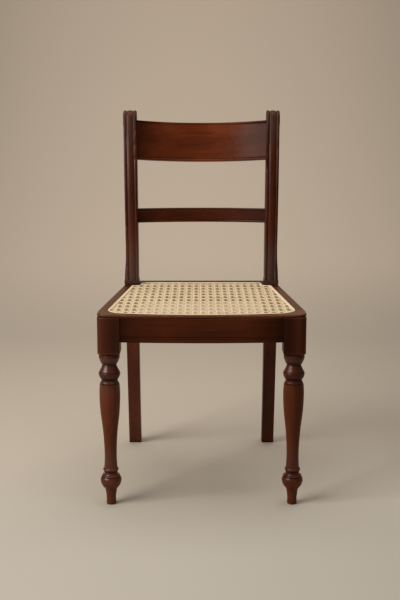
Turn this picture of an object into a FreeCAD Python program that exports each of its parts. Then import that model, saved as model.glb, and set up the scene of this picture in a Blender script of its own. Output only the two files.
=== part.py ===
import FreeCAD, Part
import math
import os

import Sketcher
from FreeCAD import Placement, Rotation, Vector

# A side chair with a caned seat: turned front legs, swept rear legs that carry on up as reeded
# posts, two curved back rails, an apron all round and a caned frame on top of it.
# Frame: +Z up, +X to the right of someone who faces the chair, whose front faces -Y. The origin
# is on the floor under the middle of the chair. Millimetres and degrees.
# Pieces are drawn with Y counted from the front face of the front legs' blocks, and each
# finished piece is then moved by its Placement to the chair's own origin.

SIZES = {
    # whole chair
    "seat_height": 447.5,
    "overall_height": 885.5,
    "front_width": 467.0,
    "post_setback": 401.0,
    "fit_gap": 0.2,
    "cut_overrun": 5.0,

    # front legs: the square block, then the turning from the floor up
    "block_width": 51.0,
    "block_height": 85.5,
    "block_corner_radius": 15.0,
    "block_top_radius": 2.5,
    "block_foot_chamfer": 2.0,
    "toe_height": 37.5,
    "toe_tip_radius": 11.2,
    "toe_top_radius": 14.0,
    "toe_edge_radius": 2.5,
    "ball_height": 28.5,
    "ball_radius": 24.2,
    "collar_height": 4.5,
    "collar_radius": 20.4,
    "cove_height": 9.0,
    "cove_radius": 15.2,
    "ring_height": 8.0,
    "ring_radius": 17.4,
    "ankle_height": 30.0,
    "ankle_radius": 14.0,
    "vase_radius": 23.6,
    "shoulder_height": 22.0,
    "throat_height": 11.0,
    "throat_radius": 18.6,
    "upper_ball_height": 34.8,
    "upper_ball_radius": 24.3,
    "neck_radius": 15.6,
    "torus_height": 23.5,
    "torus_radius": 23.8,
    "turning_step": 1.2,
    "ring_root_drop": 2.4,
    "shoulder_bead_height": 4.2,
    "shoulder_bead_drop": 4.1,
    "upper_step_height": 3.6,
    "upper_step_drop": 0.8,
    "torus_lip_drop": 1.2,

    # rear legs and posts
    "post_spacing": 356.8,
    "post_width": 33.6,
    "foot_width": 32.0,
    "post_flare": 1.0,
    "post_waist_height": 92.0,
    "post_waist_drop": 2.0,
    "post_top_width": 32.8,
    "post_top_shift": 3.8,
    "seat_level_depth": 48.0,
    "foot_kick": 75.0,
    "foot_depth": 32.0,
    "foot_chamfer": 1.5,
    "leg_edge_radius": 2.5,
    "back_curve_radius": 1940.0,
    "post_top_depth": 24.0,
    "scroll_radius": 22.0,
    "scroll_cheek": 0.4,
    "scroll_wrap_angle": 190.0,
    "reed_depth": 2.6,
    "reed_crown_gap": 0.25,
    "side_reed_width": 7.6,
    "plinth_height": 9.0,
    "plinth_step": 0.9,

    # crest rail and mid rail
    "crest_height": 98.7,
    "crest_thickness": 18.0,
    "crest_sag": 45.0,
    "crest_lean": 10.5,
    "crest_middle_height": 813.5,
    "mid_rail_height": 35.9,
    "mid_rail_thickness": 16.0,
    "mid_rail_sag": 42.0,
    "mid_rail_lean": 3.5,
    "mid_rail_middle_height": 622.2,
    "rail_setback": 4.0,
    "rail_bead_width": 6.0,
    "rail_bead_drop": 1.0,
    "rail_quirk_depth": 1.7,
    "rail_quirk_width": 1.3,
    "rail_field_drop": 0.5,
    "rail_back_radius": 2.0,
    "rail_tenon_length": 14.0,
    "rail_tenon_thickness": 9.0,
    "rail_tenon_root": 3.0,
    "crest_tenon_height": 72.0,
    "mid_rail_tenon_height": 22.0,

    # aprons
    "apron_height": 56.0,
    "front_apron_thickness": 16.0,
    "front_apron_setback": 1.5,
    "front_apron_bow": 8.5,
    "apron_bead_rise": 8.0,
    "apron_bead_width": 4.6,
    "apron_bead_depth": 1.3,
    "side_apron_thickness": 20.0,
    "side_apron_setback": 1.5,
    "rear_apron_height": 45.0,
    "rear_apron_thickness": 18.0,
    "rear_apron_setback": 27.0,
    "apron_tenon_length": 15.0,
    "apron_tenon_thickness": 8.0,
    "apron_tenon_height": 28.0,

    # seat frame, which lies on the aprons and the blocks
    "lip_thickness": 6.5,
    "lip_overhang": 0.6,
    "lip_front_bow": 9.0,
    "lip_front_reach": 5.0,
    "lip_corner_radius": 22.0,
    "nosing_radius": 2.6,
    "core_depth": 8.0,
    "frame_rear_reach": 55.0,
    "front_member_depth": 62.0,
    "rear_member_depth": 41.0,

    # cane and its binding
    "cane_border": 20.0,
    "cane_front_border": 10.5,
    "cane_front_bow": 16.0,
    "cane_corner_width": 35.0,
    "cane_corner_length": 47.0,
    "cane_corner_bulge_share": 0.196,
    "cane_notch_gap": 7.0,
    "cane_post_gap": 20.0,
    "cane_notch_radius": 12.5,
    "cane_rear_border": 31.0,
    "cane_rebate_depth": 3.0,
    "cane_bearing": 12.0,
    "cane_thickness": 2.2,
    "cane_column_pitch": 17.57,
    "cane_row_pitch": 38.5,
    "cane_gap_width": 10.0,
    "cane_gap_depth": 24.0,
    "cane_gap_corner": 3.2,
    "binding_width": 5.0,
    "binding_thickness": 1.6,

    # glue blocks and screws
    "corner_block_reach": 62.0,
    "corner_block_height": 30.0,
    "screw_shank_radius": 2.1,
    "screw_head_radius": 4.2,
    "screw_head_height": 2.8,
    "screw_hole_gap": 0.1,
    "brace_screw_length": 50.0,
    "brace_screw_shift": 4.0,
    "frame_screw_length": 38.0,
    "frame_screw_offset": 10.0,
    "frame_screw_inset": 30.0,
}

# How far round a quarter of a circle stands off its chord, as a share of the chord
QUARTER_BULGE_SHARE = (math.sqrt(2) - 1) / 2

HANDS = ((-1, "left"), (1, "right"))
ENDS = ("front", "rear")

doc = FreeCAD.newDocument("chair")
sheet = doc.addObject("Spreadsheet::Sheet", "Sizes")


class Size:
    # a number together with the spreadsheet expression that gives it

    def __init__(self, number, text):
        self.number = number
        self.text = text

    def __add__(self, other):
        return combine(self, "+", other)

    def __radd__(self, other):
        return combine(other, "+", self)

    def __sub__(self, other):
        return combine(self, "-", other)

    def __rsub__(self, other):
        return combine(other, "-", self)

    def __mul__(self, other):
        return combine(self, "*", other)

    def __rmul__(self, other):
        return combine(other, "*", self)

    def __truediv__(self, other):
        return combine(self, "/", other)

    def __rtruediv__(self, other):
        return combine(other, "/", self)

    def __neg__(self):
        return combine(-1, "*", self)


def as_size(value):
    return value if isinstance(value, Size) else Size(float(value), "(" + repr(value) + ")")


def combine(left, sign, right):
    left = as_size(left)
    right = as_size(right)
    if sign == "+":
        number = left.number + right.number
    elif sign == "-":
        number = left.number - right.number
    elif sign == "*":
        number = left.number * right.number
    else:
        number = left.number / right.number
    return Size(number, "(" + left.text + " " + sign + " " + right.text + ")")


def root(value):
    return Size(math.sqrt(value.number), "sqrt(" + value.text + ")")


def sine(angle):
    return Size(math.sin(math.radians(angle.number)), "sin(" + angle.text + ")")


def cosine(angle):
    return Size(math.cos(math.radians(angle.number)), "cos(" + angle.text + ")")


def angle_of_sine(value):
    return Size(math.degrees(math.asin(value.number)), "(asin(" + value.text + ") / 1 deg)")


def angle_of_tangent(value):
    return Size(math.degrees(math.atan(value.number)), "(atan(" + value.text + ") / 1 deg)")


def larger(one, other):
    number = max(one.number, other.number)
    return Size(number, "max(" + one.text + "; " + other.text + ")")


def fill_sheet():
    for row, (name, number) in enumerate(SIZES.items(), 1):
        sheet.set("A" + str(row), name)
        sheet.set("B" + str(row), str(number))
        sheet.setAlias("B" + str(row), name)
    doc.recompute()


def size(name):
    return Size(float(sheet.get(name)), "Sizes." + name)


def tie(thing, path, value):
    thing.setExpression(path, as_size(value).text)


# Places that several pieces share

def seat_bottom():
    return size("seat_height") - size("lip_thickness")


def block_bottom():
    return seat_bottom() - size("block_height")


def block_inner_x():
    return size("front_width") / 2 - size("block_width")


def post_x():
    return size("post_spacing") / 2


def post_inner_x():
    return post_x() - size("post_width") / 2


def post_outer_x():
    return post_x() + size("post_width") / 2


def crest_back_y():
    # the crest rail's rearmost place, at its upper back corner
    ease = size("rail_back_radius")
    back = size("rail_setback") + size("crest_sag") + size("crest_thickness") - ease
    up = size("crest_height") / 2 - ease
    lean = size("crest_lean")
    return post_front_y(size("crest_middle_height")) + back * cosine(lean) + up * sine(lean) + ease


def chair_middle_y():
    # half way from the bowed front apron to the rear feet or the crest rail
    foot = size("post_setback") + size("foot_kick") + size("foot_depth")
    front = size("front_apron_setback") - size("front_apron_bow")
    return (larger(foot, crest_back_y()) + front) / 2


def arc_radius(half_chord, rise):
    return (half_chord * half_chord + rise * rise) / (2 * rise)


def front_apron_radius():
    return arc_radius(block_inner_x(), size("front_apron_bow"))


def front_apron_back_y(x):
    # where the front apron's inner face lies, at a distance x from the middle
    reach = front_apron_radius() - size("front_apron_thickness")
    axis = size("front_apron_setback") - size("front_apron_bow") + front_apron_radius()
    return axis - root(reach * reach - x * x)


def side_apron_x(y, inset):
    # the side apron runs from the block's outer face to the post's, set back and inset
    front = size("front_width") / 2 - size("side_apron_setback") - inset
    rear = post_outer_x() - size("side_apron_setback") - inset
    run = size("post_setback") - size("block_width")
    return front - (front - rear) * (y - size("block_width")) / run


def rear_apron_front_y():
    return size("post_setback") + size("rear_apron_setback")


def post_front_y(height):
    # the post's front face is one arc that stands upright at the seat
    radius = size("back_curve_radius")
    rise = height - size("seat_height")
    return size("post_setback") + radius - root(radius * radius - rise * rise)


# Sketches and simple solids

PLANES = {
    "XY": Rotation(),
    "XZ": Rotation(Vector(1, 0, 0), 90),
    "YZ": Rotation(Vector(1, 1, 1), 120),
}


def new_sketch(name, plane, height=None):
    sketch = doc.addObject("Sketcher::SketchObject", name)
    sketch.Placement = Placement(Vector(), PLANES[plane])
    if height is not None:
        tie(sketch, "Placement.Base.z", height)
    return sketch


def body_sketch(body, name, role, offset=None):
    sketch = body.newObject("Sketcher::SketchObject", name)
    plane = [feature for feature in body.Origin.OriginFeatures if feature.Role == role][0]
    sketch.AttachmentSupport = [(plane, "")]
    sketch.MapMode = "FlatFace"
    if offset is not None:
        tie(sketch, "AttachmentOffset.Base.z", offset)
    return sketch


def arc_middle(start, end, bulge):
    # the arc's middle stands off its chord, to the right of the way that the outline runs
    middle_x = (start[0] + end[0]) / 2 + bulge * (end[1] - start[1])
    middle_y = (start[1] + end[1]) / 2 - bulge * (end[0] - start[0])
    return (as_size(middle_x), as_size(middle_y))


def flat(point):
    return Vector(point[0].number, point[1].number, 0)


class Limits:
    # the constraints of one sketch, with the sizes that some of them follow

    def __init__(self):
        self.limits = []
        self.followed = {}

    def add(self, *words):
        self.limits.append(Sketcher.Constraint(*words))

    def pin(self, geometry, end, point):
        for kind, value in (("DistanceX", point[0]), ("DistanceY", point[1])):
            self.followed[len(self.limits)] = value
            self.add(kind, -1, 1, geometry, end, value.number)

    def put_in(self, sketch):
        sketch.addConstraint(self.limits)
        for index, value in self.followed.items():
            tie(sketch, "Constraints[" + str(index) + "]", value)


def draw(sketch, corners):
    # a closed outline of (x, y) corners; a third value is the bulge of the arc that ends there
    points = [(as_size(corner[0]), as_size(corner[1])) for corner in corners]
    limits = Limits()
    pieces = []
    for index, corner in enumerate(corners):
        start = points[index - 1]
        end = points[index]
        if len(corner) == 2:
            line = sketch.addGeometry(Part.LineSegment(flat(start), flat(end)), False)
            pieces.append((line, 1, 2))
            continue
        middle = arc_middle(start, end, corner[2])
        turn = (flat(middle) - flat(start)).cross(flat(end) - flat(start)).z
        ends = (start, end) if turn > 0 else (end, start)
        arc = Part.Arc(flat(ends[0]), flat(middle), flat(ends[1]))
        geometry = sketch.addGeometry(arc, False)
        mark = sketch.addGeometry(Part.Point(flat(middle)), True)
        limits.add("PointOnObject", mark, 1, geometry)
        limits.pin(mark, 1, middle)
        pieces.append((geometry, 1, 2) if turn > 0 else (geometry, 2, 1))
    for index, (geometry, first, last) in enumerate(pieces):
        before = pieces[index - 1]
        limits.add("Coincident", before[0], before[2], geometry, first)
        limits.pin(geometry, first, points[index - 1])
    limits.put_in(sketch)


def mirrored(corners, side):
    # the outline as drawn for the right-hand side, or its mirror image for the left
    if side > 0:
        return corners
    turned = []
    for corner in corners:
        turned.append((side * corner[0],) + tuple(corner[1:2]) + tuple(-part for part in corner[2:]))
    return turned


def symmetric(right_half):
    # closes an outline across the middle: the right half runs from the front to the rear
    left_half = []
    for index in range(len(right_half) - 1, -1, -1):
        corner = right_half[index]
        after = right_half[index + 1] if index + 1 < len(right_half) else ()
        left_half.append((-corner[0], corner[1]) + tuple(after[2:]))
    return right_half + left_half


def extrude(name, sketch, length, both_ways=False):
    solid = doc.addObject("Part::Extrusion", name)
    solid.Base = sketch
    solid.DirMode = "Normal"
    solid.Solid = True
    solid.Symmetric = both_ways
    tie(solid, "LengthFwd", length)
    return solid


def revolve(name, sketch, axis, base_y, angle, both_ways=False):
    solid = doc.addObject("Part::Revolution", name)
    solid.Source = sketch
    solid.Axis = axis
    solid.Solid = True
    solid.Symmetric = both_ways
    tie(solid, "Base.y", base_y)
    tie(solid, "Angle", angle)
    return solid


def box(name, low, spans):
    block = doc.addObject("Part::Box", name)
    for path, value in zip(("Length", "Width", "Height"), spans):
        tie(block, path, value)
    for path, value in zip("xyz", low):
        tie(block, "Placement.Base." + path, value)
    return block


def wide_box(name, middle_x, width, low_y, span_y, low_z, span_z):
    return box(name, (middle_x - width / 2, low_y, low_z), (width, span_y, span_z))


def cut(name, base, tool):
    result = doc.addObject("Part::Cut", name)
    result.Base = base
    result.Tool = tool
    return result


def common(name, base, tool):
    result = doc.addObject("Part::Common", name)
    result.Base = base
    result.Tool = tool
    return result


def fuse(name, shapes):
    result = doc.addObject("Part::MultiFuse", name)
    result.Shapes = shapes
    return result


def gather(name, links):
    group = doc.addObject("Part::Compound", name)
    group.Links = links
    return group


def fillet(name, base, radius, chosen):
    # rounds the edges of base for which chosen(edge) is true
    doc.recompute()
    result = doc.addObject("Part::Fillet", name)
    result.Base = base
    edges = enumerate(base.Shape.Edges, 1)
    result.Edges = [(index, radius, radius) for index, edge in edges if chosen(edge)]
    return result


def chamfer(name, base, width, chosen):
    doc.recompute()
    result = doc.addObject("Part::Chamfer", name)
    result.Base = base
    edges = enumerate(base.Shape.Edges, 1)
    result.Edges = [(index, width, width) for index, edge in edges if chosen(edge)]
    return result


SUBPARTS = []


def finish(thing, label):
    # names the finished piece and moves it to the chair's own origin
    thing.Label = label
    tie(thing, "Placement.Base.y", -chair_middle_y())
    SUBPARTS.append(thing)
    return thing


# Front legs

def rise_bulge(across, up):
    # the bulge of an arc that stands upright at one end and moves across by its other end
    return (root(across * across + up * up) - up) / (2 * across)


def turned_profile():
    # (radius, height, bulge) from the floor up; the vase takes what the other turnings leave
    step = size("turning_step")
    toe_top = size("toe_height")
    ball_top = toe_top + size("ball_height")
    collar_top = ball_top + size("collar_height")
    cove_top = collar_top + size("cove_height")
    ring_top = cove_top + size("ring_height")
    ankle_top = ring_top + size("ankle_height")
    lip_bottom = block_bottom() - step
    torus_bottom = lip_bottom - size("torus_height")
    upper_ball_bottom = torus_bottom - size("upper_ball_height")
    vase_top = upper_ball_bottom - size("throat_height")
    bead_top = vase_top + step + size("shoulder_bead_height")
    ball_belly_share = 0.7
    upper_belly_share = 0.39
    torus_belly_share = 0.68
    swell_share = 0.55
    ball_fullness_share = 0.75
    torus_fullness_share = 0.45
    bead_bulge_share = 0.35
    cove_bulge_share = -0.2
    hollow_bulge_share = -0.04
    ball_belly = toe_top + ball_belly_share * size("ball_height")
    vase_belly = vase_top - size("shoulder_height")
    upper_belly = upper_ball_bottom + upper_belly_share * size("upper_ball_height")
    upper_step = upper_belly + size("upper_step_height")
    torus_belly = torus_bottom + torus_belly_share * size("torus_height")
    toe = size("toe_top_radius")
    edge = size("toe_edge_radius")
    ball = size("ball_radius")
    collar = size("collar_radius")
    cove = size("cove_radius") + step
    ring = size("ring_radius") - size("ring_root_drop")
    ankle = size("ankle_radius")
    vase = size("vase_radius")
    swell = swell_share * (vase - ankle)
    swell_rise = swell_share * (vase_belly - ankle_top)
    bead = vase - size("shoulder_bead_drop")
    throat = size("throat_radius")
    upper = size("upper_ball_radius")
    upper_drop = size("upper_step_drop")
    neck = size("neck_radius")
    torus = size("torus_radius")
    torus_lip = torus - size("torus_lip_drop")
    return [
        (Size(0.0, "0"), Size(0.0, "0")),
        (size("toe_tip_radius") - edge, Size(0.0, "0")),
        (size("toe_tip_radius"), edge, QUARTER_BULGE_SHARE),
        (toe, toe_top, hollow_bulge_share),
        (toe + step, toe_top + step),
        (ball, ball_belly,
         ball_fullness_share * rise_bulge(ball - toe - step, ball_belly - toe_top - step)),
        (collar + step, ball_top, rise_bulge(ball - collar - step, ball_top - ball_belly)),
        (collar - step, ball_top),
        (collar - step, collar_top, bead_bulge_share),
        (cove, collar_top + step, cove_bulge_share),
        (cove, cove_top - step, cove_bulge_share),
        (ring, cove_top),
        (ring, ring_top, bead_bulge_share),
        (ankle + step, ring_top + step),
        (ankle, ankle_top, -rise_bulge(step, ankle_top - ring_top - step)),
        (ankle + swell, ankle_top + swell_rise, -rise_bulge(swell, swell_rise)),
        (vase, vase_belly, rise_bulge(swell, swell_rise)),
        (vase - step, vase_top, rise_bulge(step, size("shoulder_height"))),
        (bead, vase_top + step),
        (bead, bead_top, bead_bulge_share),
        (throat, bead_top + step),
        (throat, upper_ball_bottom),
        (upper, upper_belly, rise_bulge(upper - throat, upper_belly - upper_ball_bottom)),
        (upper - upper_drop, upper_step, rise_bulge(upper_drop, upper_step - upper_belly)),
        (upper - upper_drop - step, upper_step),
        (upper - upper_drop - step, upper_step + 2 * step),
        (neck, torus_bottom, hollow_bulge_share),
        (neck + step, torus_bottom),
        (torus, torus_belly,
         torus_fullness_share * rise_bulge(torus - neck - step, torus_belly - torus_bottom)),
        (torus_lip, lip_bottom, rise_bulge(size("torus_lip_drop"), lip_bottom - torus_belly)),
        (torus_lip - step, lip_bottom),
        (torus_lip - step, block_bottom()),
        (Size(0.0, "0"), block_bottom()),
    ]


def leg_block_outline(side):
    # the corner between the front and the outer face is rounded
    half = size("block_width") / 2
    radius = size("block_corner_radius")
    corners = [
        (-half, -half),
        (half - radius, -half),
        (half, radius - half, QUARTER_BULGE_SHARE),
        (half, half),
        (-half, half),
    ]
    return mirrored(corners, side)


def rectangle(middle, low, width, height):
    return [
        (middle - width / 2, low),
        (middle + width / 2, low),
        (middle + width / 2, low + height),
        (middle - width / 2, low + height),
    ]


def apron_tenon_bottom():
    return seat_bottom() - size("apron_height") / 2 - size("apron_tenon_height") / 2


def front_tenon_middle_y():
    return size("front_apron_setback") + size("front_apron_thickness") / 2


def add_pocket(body, name, sketch, depth, reverse):
    doc.recompute()
    before = body.Shape.Volume
    pocket = body.newObject("PartDesign::Pocket", name)
    pocket.Profile = sketch
    pocket.Reversed = reverse
    tie(pocket, "Length", depth)
    doc.recompute()
    if body.Shape.Volume >= before:
        raise RuntimeError(name + " cuts nothing")
    return pocket


def edge_names(feature, chosen):
    edges = enumerate(feature.Shape.Edges, 1)
    return ["Edge" + str(index) for index, edge in edges if chosen(edge)]


def is_level_at(edge, height):
    close = size("fit_gap").number
    bounds = edge.BoundBox
    return bounds.ZMax - bounds.ZMin < close and abs(bounds.ZMin - height.number) < close


def is_block_bead(side):
    # the top edges of the block along its front and its outer face
    reach = size("block_width").number / 4

    def chosen(edge):
        outer = side * edge.BoundBox.Center.x > reach or edge.BoundBox.Center.y < -reach
        back = edge.BoundBox.YMin > reach
        inner = side * edge.BoundBox.XMax < -reach
        if side < 0:
            inner = edge.BoundBox.XMin > reach
        return is_level_at(edge, seat_bottom()) and outer and not back and not inner
    return chosen


def is_block_foot(edge):
    # the bottom edges of the block, outside the turning
    middle = edge.BoundBox.Center
    reach = size("block_width").number / 4
    return is_level_at(edge, block_bottom()) and max(abs(middle.x), abs(middle.y)) > reach


def make_front_leg(side, hand, screw_holes):
    body = doc.addObject("PartDesign::Body", "front_leg_body_" + hand)
    half = size("block_width") / 2
    gap = size("fit_gap")
    turning = body_sketch(body, "turning_" + hand, "XZ_Plane")
    draw(turning, turned_profile())
    turned = body.newObject("PartDesign::Revolution", "turned_leg_" + hand)
    turned.Profile = turning
    turned.ReferenceAxis = (turning, ["V_Axis"])
    block_sketch = body_sketch(body, "block_outline_" + hand, "XY_Plane", block_bottom())
    draw(block_sketch, leg_block_outline(side))
    block = body.newObject("PartDesign::Pad", "leg_block_" + hand)
    block.Profile = block_sketch
    tie(block, "Length", size("block_height"))
    doc.recompute()

    bead = body.newObject("PartDesign::Fillet", "block_bead_" + hand)
    bead.Base = (block, edge_names(block, is_block_bead(side)))
    tie(bead, "Radius", size("block_top_radius"))
    doc.recompute()
    under = body.newObject("PartDesign::Chamfer", "block_foot_" + hand)
    under.Base = (bead, edge_names(bead, is_block_foot))
    tie(under, "Size", size("block_foot_chamfer"))

    inner = body_sketch(body, "front_mortise_" + hand, "YZ_Plane", -side * half)
    draw(inner, rectangle(front_tenon_middle_y() - half, apron_tenon_bottom() - gap,
                          size("apron_tenon_thickness") + 2 * gap,
                          size("apron_tenon_height") + 2 * gap))
    add_pocket(body, "front_mortise_cut_" + hand, inner, size("apron_tenon_length") + gap, side > 0)
    back = body_sketch(body, "side_mortise_" + hand, "XZ_Plane", -half)
    middle = side * (side_apron_x(size("block_width"), size("side_apron_thickness") / 2) - leg_x())
    draw(back, rectangle(middle, apron_tenon_bottom() - gap,
                         size("apron_tenon_thickness") + 2 * gap,
                         size("apron_tenon_height") + 2 * gap))
    add_pocket(body, "side_mortise_cut_" + hand, back, size("apron_tenon_length") + gap, True)

    tie(body, "Placement.Base.x", side * leg_x())
    tie(body, "Placement.Base.y", half)
    finish(cut("front_leg_bored_" + hand, body, screw_holes), "front_leg_" + hand)


def leg_x():
    return size("front_width") / 2 - size("block_width") / 2


# Rear legs

def top_rise():
    return size("overall_height") - size("seat_height")


def scroll_sine():
    radius = size("scroll_radius")
    return (top_rise() - radius) / (size("back_curve_radius") - radius)


def scroll_cosine():
    return root(1 - scroll_sine() * scroll_sine())


def on_back_curve(depth):
    # a point at a depth behind the post's front face, square to it, level with the scroll
    radius = size("back_curve_radius")
    return (radius - (radius - depth) * scroll_cosine(), (radius - depth) * scroll_sine())


def rear_leg_profile():
    # side view, from the front of the foot: Y behind the post's front face, Z from the seat top
    fall = size("seat_height")
    kick = size("foot_kick")
    depth = size("seat_level_depth")
    waist = size("lip_thickness") + size("rear_apron_height")
    back_kick = kick + size("foot_depth") - depth
    back_fall = fall - waist
    front = on_back_curve(Size(0.0, "0"))
    back = on_back_curve(size("post_top_depth"))
    back_shift = back[0] - depth
    upright = 2 * size("plinth_height")
    return [
        (kick, -fall, rise_bulge(kick, fall)),
        (depth + back_kick, -fall),
        (depth, -waist, -rise_bulge(back_kick, back_fall)),
        (depth, upright),
        (back[0], back[1], -rise_bulge(back_shift, back[1] - upright)),
        (front[0], front[1]),
        (Size(0.0, "0"), Size(0.0, "0"), rise_bulge(front[0], front[1])),
    ]


def post_inner_lean():
    # how far the post's inner face stands outward for each unit of height
    half = size("post_width") / 2
    rise = top_rise() + size("lip_thickness")
    return (size("post_top_shift") - size("post_top_width") / 2 + half) / rise


def rear_leg_front_view():
    # X outward from the post's middle at the seat, Z from the seat top: the post flares at its
    # foot, is narrowest above that, and leans outward from there to the scroll
    half = size("post_width") / 2
    foot = size("foot_width") / 2
    seam = -size("lip_thickness")
    bottom = -size("seat_height") - size("cut_overrun")
    outer_top = size("post_top_shift") + size("post_top_width") / 2
    inner_top = size("post_top_shift") - size("post_top_width") / 2
    outer = half + size("post_flare")
    waist = half - size("post_waist_drop")
    height = size("post_waist_height")
    lean = (outer_top - waist) / (top_rise() - height)
    sweep = (lean + (outer - waist) / (height - seam)) / 4
    foot_lean = (half - foot) / (seam - bottom)
    return [
        (-foot, bottom),
        (foot, bottom),
        (outer, seam, ((outer - foot) / (seam - bottom) - lean) / 4),
        ((outer + waist) / 2, (height + seam) / 2, sweep),
        (waist, height, -sweep),
        (outer_top, top_rise()),
        (inner_top, top_rise()),
        (-half, seam, (post_inner_lean() + foot_lean) / 4),
    ]


def reed_section():
    # what is cut away in front of the reeds: two narrow ones beside a wide one
    half = size("post_top_width") / 2
    overrun = size("cut_overrun")
    depth = size("reed_depth")
    narrow = size("side_reed_width")
    wide = size("post_top_width") - 2 * narrow
    crown = depth - size("reed_crown_gap")
    return [
        (-half - overrun, -overrun),
        (half + overrun, -overrun),
        (half + overrun, depth),
        (half, depth),
        (half - narrow, depth, -crown / narrow),
        (narrow - half, depth, -crown / wide),
        (-half, depth, -crown / narrow),
        (-half - overrun, depth),
    ]


def is_leg_arris(edge):
    # the rising edges of the leg, apart from the short ones at its cut top
    bounds = edge.BoundBox
    return bounds.ZMax - bounds.ZMin > size("post_top_depth").number / 3


def is_foot_edge(edge):
    return edge.BoundBox.ZMax < (size("fit_gap") - size("seat_height")).number


def set_reeds_place(reeds):
    # the reeds follow the post's middle line from its waist to the scroll
    waist = -size("post_waist_drop") / 2
    height = size("post_waist_height")
    lean = (size("post_top_shift") - waist) / (top_rise() - height)
    reeds.Placement = Placement(Vector(), Rotation(Vector(0, 1, 0), 1))
    tie(reeds, "Placement.Rotation.Angle", angle_of_tangent(lean))
    tie(reeds, "Placement.Base.x", waist - height * lean)


def make_rear_leg_blank():
    # the right-hand leg before its mortises are cut
    profile = new_sketch("rear_leg_profile", "YZ")
    draw(profile, rear_leg_profile())
    board = extrude("rear_leg_board", profile, 2 * size("post_width"), True)
    front_view = new_sketch("rear_leg_front_view", "XZ")
    draw(front_view, rear_leg_front_view())
    reach = size("foot_kick") + 2 * size("foot_depth")
    outline = extrude("rear_leg_outline", front_view, 2 * reach, True)
    sawn = common("rear_leg_sawn", board, outline)
    eased = fillet("rear_leg_eased", sawn, size("leg_edge_radius").number, is_leg_arris)
    footed = chamfer("rear_leg_footed", eased, size("foot_chamfer").number, is_foot_edge)
    radius = size("scroll_radius")
    middle = on_back_curve(radius)
    scroll = doc.addObject("Part::Cylinder", "scroll")
    scroll.Placement = Placement(Vector(), Rotation(Vector(0, 1, 0), 90))
    length = size("post_top_width") + 2 * size("scroll_cheek")
    tie(scroll, "Radius", radius)
    tie(scroll, "Height", length)
    tie(scroll, "Placement.Base.x", size("post_top_shift") - length / 2)
    tie(scroll, "Placement.Base.y", middle[0])
    tie(scroll, "Placement.Base.z", middle[1])
    step = size("plinth_step")
    flare = size("post_flare")
    plinth = wide_box("plinth", flare / 2, size("post_width") + flare + 2 * step, -step,
                      size("seat_level_depth") + 2 * step, Size(0.0, "0"), size("plinth_height"))
    shaped = fuse("rear_leg_shaped", [footed, scroll])
    section = new_sketch("reed_section", "XY")
    draw(section, reed_section())
    up = Vector(-1, 0, 0)
    along = revolve("reeds_along_post", section, up, size("back_curve_radius"),
                    angle_of_sine(scroll_sine()))
    over = revolve("reeds_over_scroll", section, up, radius, size("scroll_wrap_angle"))
    start = on_back_curve(Size(0.0, "0"))
    over.Placement = Placement(Vector(), Rotation(up, 1))
    tie(over, "Placement.Rotation.Angle", angle_of_sine(scroll_sine()))
    tie(over, "Placement.Base.y", start[0])
    tie(over, "Placement.Base.z", start[1])
    reeds = gather("reed_cuts", [along, over])
    set_reeds_place(reeds)
    reeded = cut("rear_leg_reeded", shaped, reeds)
    blank = fuse("rear_leg_blank_right", [reeded, plinth])
    tie(blank, "Placement.Base.x", post_x())
    tie(blank, "Placement.Base.y", size("post_setback"))
    tie(blank, "Placement.Base.z", size("seat_height"))
    return blank


def mirror(name, source):
    # the same piece for the other side of the chair
    image = doc.addObject("Part::Mirroring", name)
    image.Source = source
    image.Normal = Vector(1, 0, 0)
    return image


def make_rear_leg(hand, blank, mortises):
    leg = cut("rear_leg_mortised_" + hand, blank, gather("rear_mortises_" + hand, mortises))
    return finish(leg, "rear_leg_" + hand)


# Crest rail and mid rail

def rail_half_length(middle_height):
    return post_inner_x() + (middle_height - size("seat_height")) * post_inner_lean()


def rail_section(rail):
    # side view at the rail's middle: the curved front face carries a bead along each edge
    face = size("rail_setback") + rail["sag"]
    back = face + rail["thickness"]
    half = rail["height"] / 2
    bead = size("rail_bead_width")
    quirk = face + size("rail_quirk_depth")
    field = face + size("rail_field_drop")
    edge = face + size("rail_bead_drop")
    ease = size("rail_back_radius")
    bead_bulge_share = 0.16
    return [
        (back - ease, -half),
        (back, ease - half, QUARTER_BULGE_SHARE),
        (back, half - ease),
        (back - ease, half, QUARTER_BULGE_SHARE),
        (edge, half),
        (quirk, half - bead, bead_bulge_share),
        (field, half - bead - size("rail_quirk_width")),
        (field, bead + size("rail_quirk_width") - half),
        (quirk, bead - half),
        (edge, -half, bead_bulge_share),
    ]


def set_rail_place(thing, rail):
    thing.Placement = Placement(Vector(), Rotation(Vector(-1, 0, 0), 1))
    tie(thing, "Placement.Rotation.Angle", rail["lean"])
    tie(thing, "Placement.Base.y", post_front_y(rail["middle_height"]))
    tie(thing, "Placement.Base.z", rail["middle_height"])


def rail_tenons(name, rail, gap):
    # a stub tenon at each end, in the rail's own frame
    half = rail_half_length(rail["middle_height"])
    rooted = size("rail_tenon_root")
    length = rooted + size("rail_tenon_length") + gap
    tenon_place_share = 0.55
    middle = size("rail_setback") + tenon_place_share * rail["thickness"]
    boxes = []
    for side, hand in HANDS:
        boxes.append(wide_box(name + "_" + hand, side * (half - rooted + length / 2), length,
                              middle - size("rail_tenon_thickness") / 2 - gap,
                              size("rail_tenon_thickness") + 2 * gap,
                              -rail["tenon_height"] / 2 - gap,
                              rail["tenon_height"] + 2 * gap))
    tenons = gather(name, boxes)
    set_rail_place(tenons, rail)
    return tenons


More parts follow.
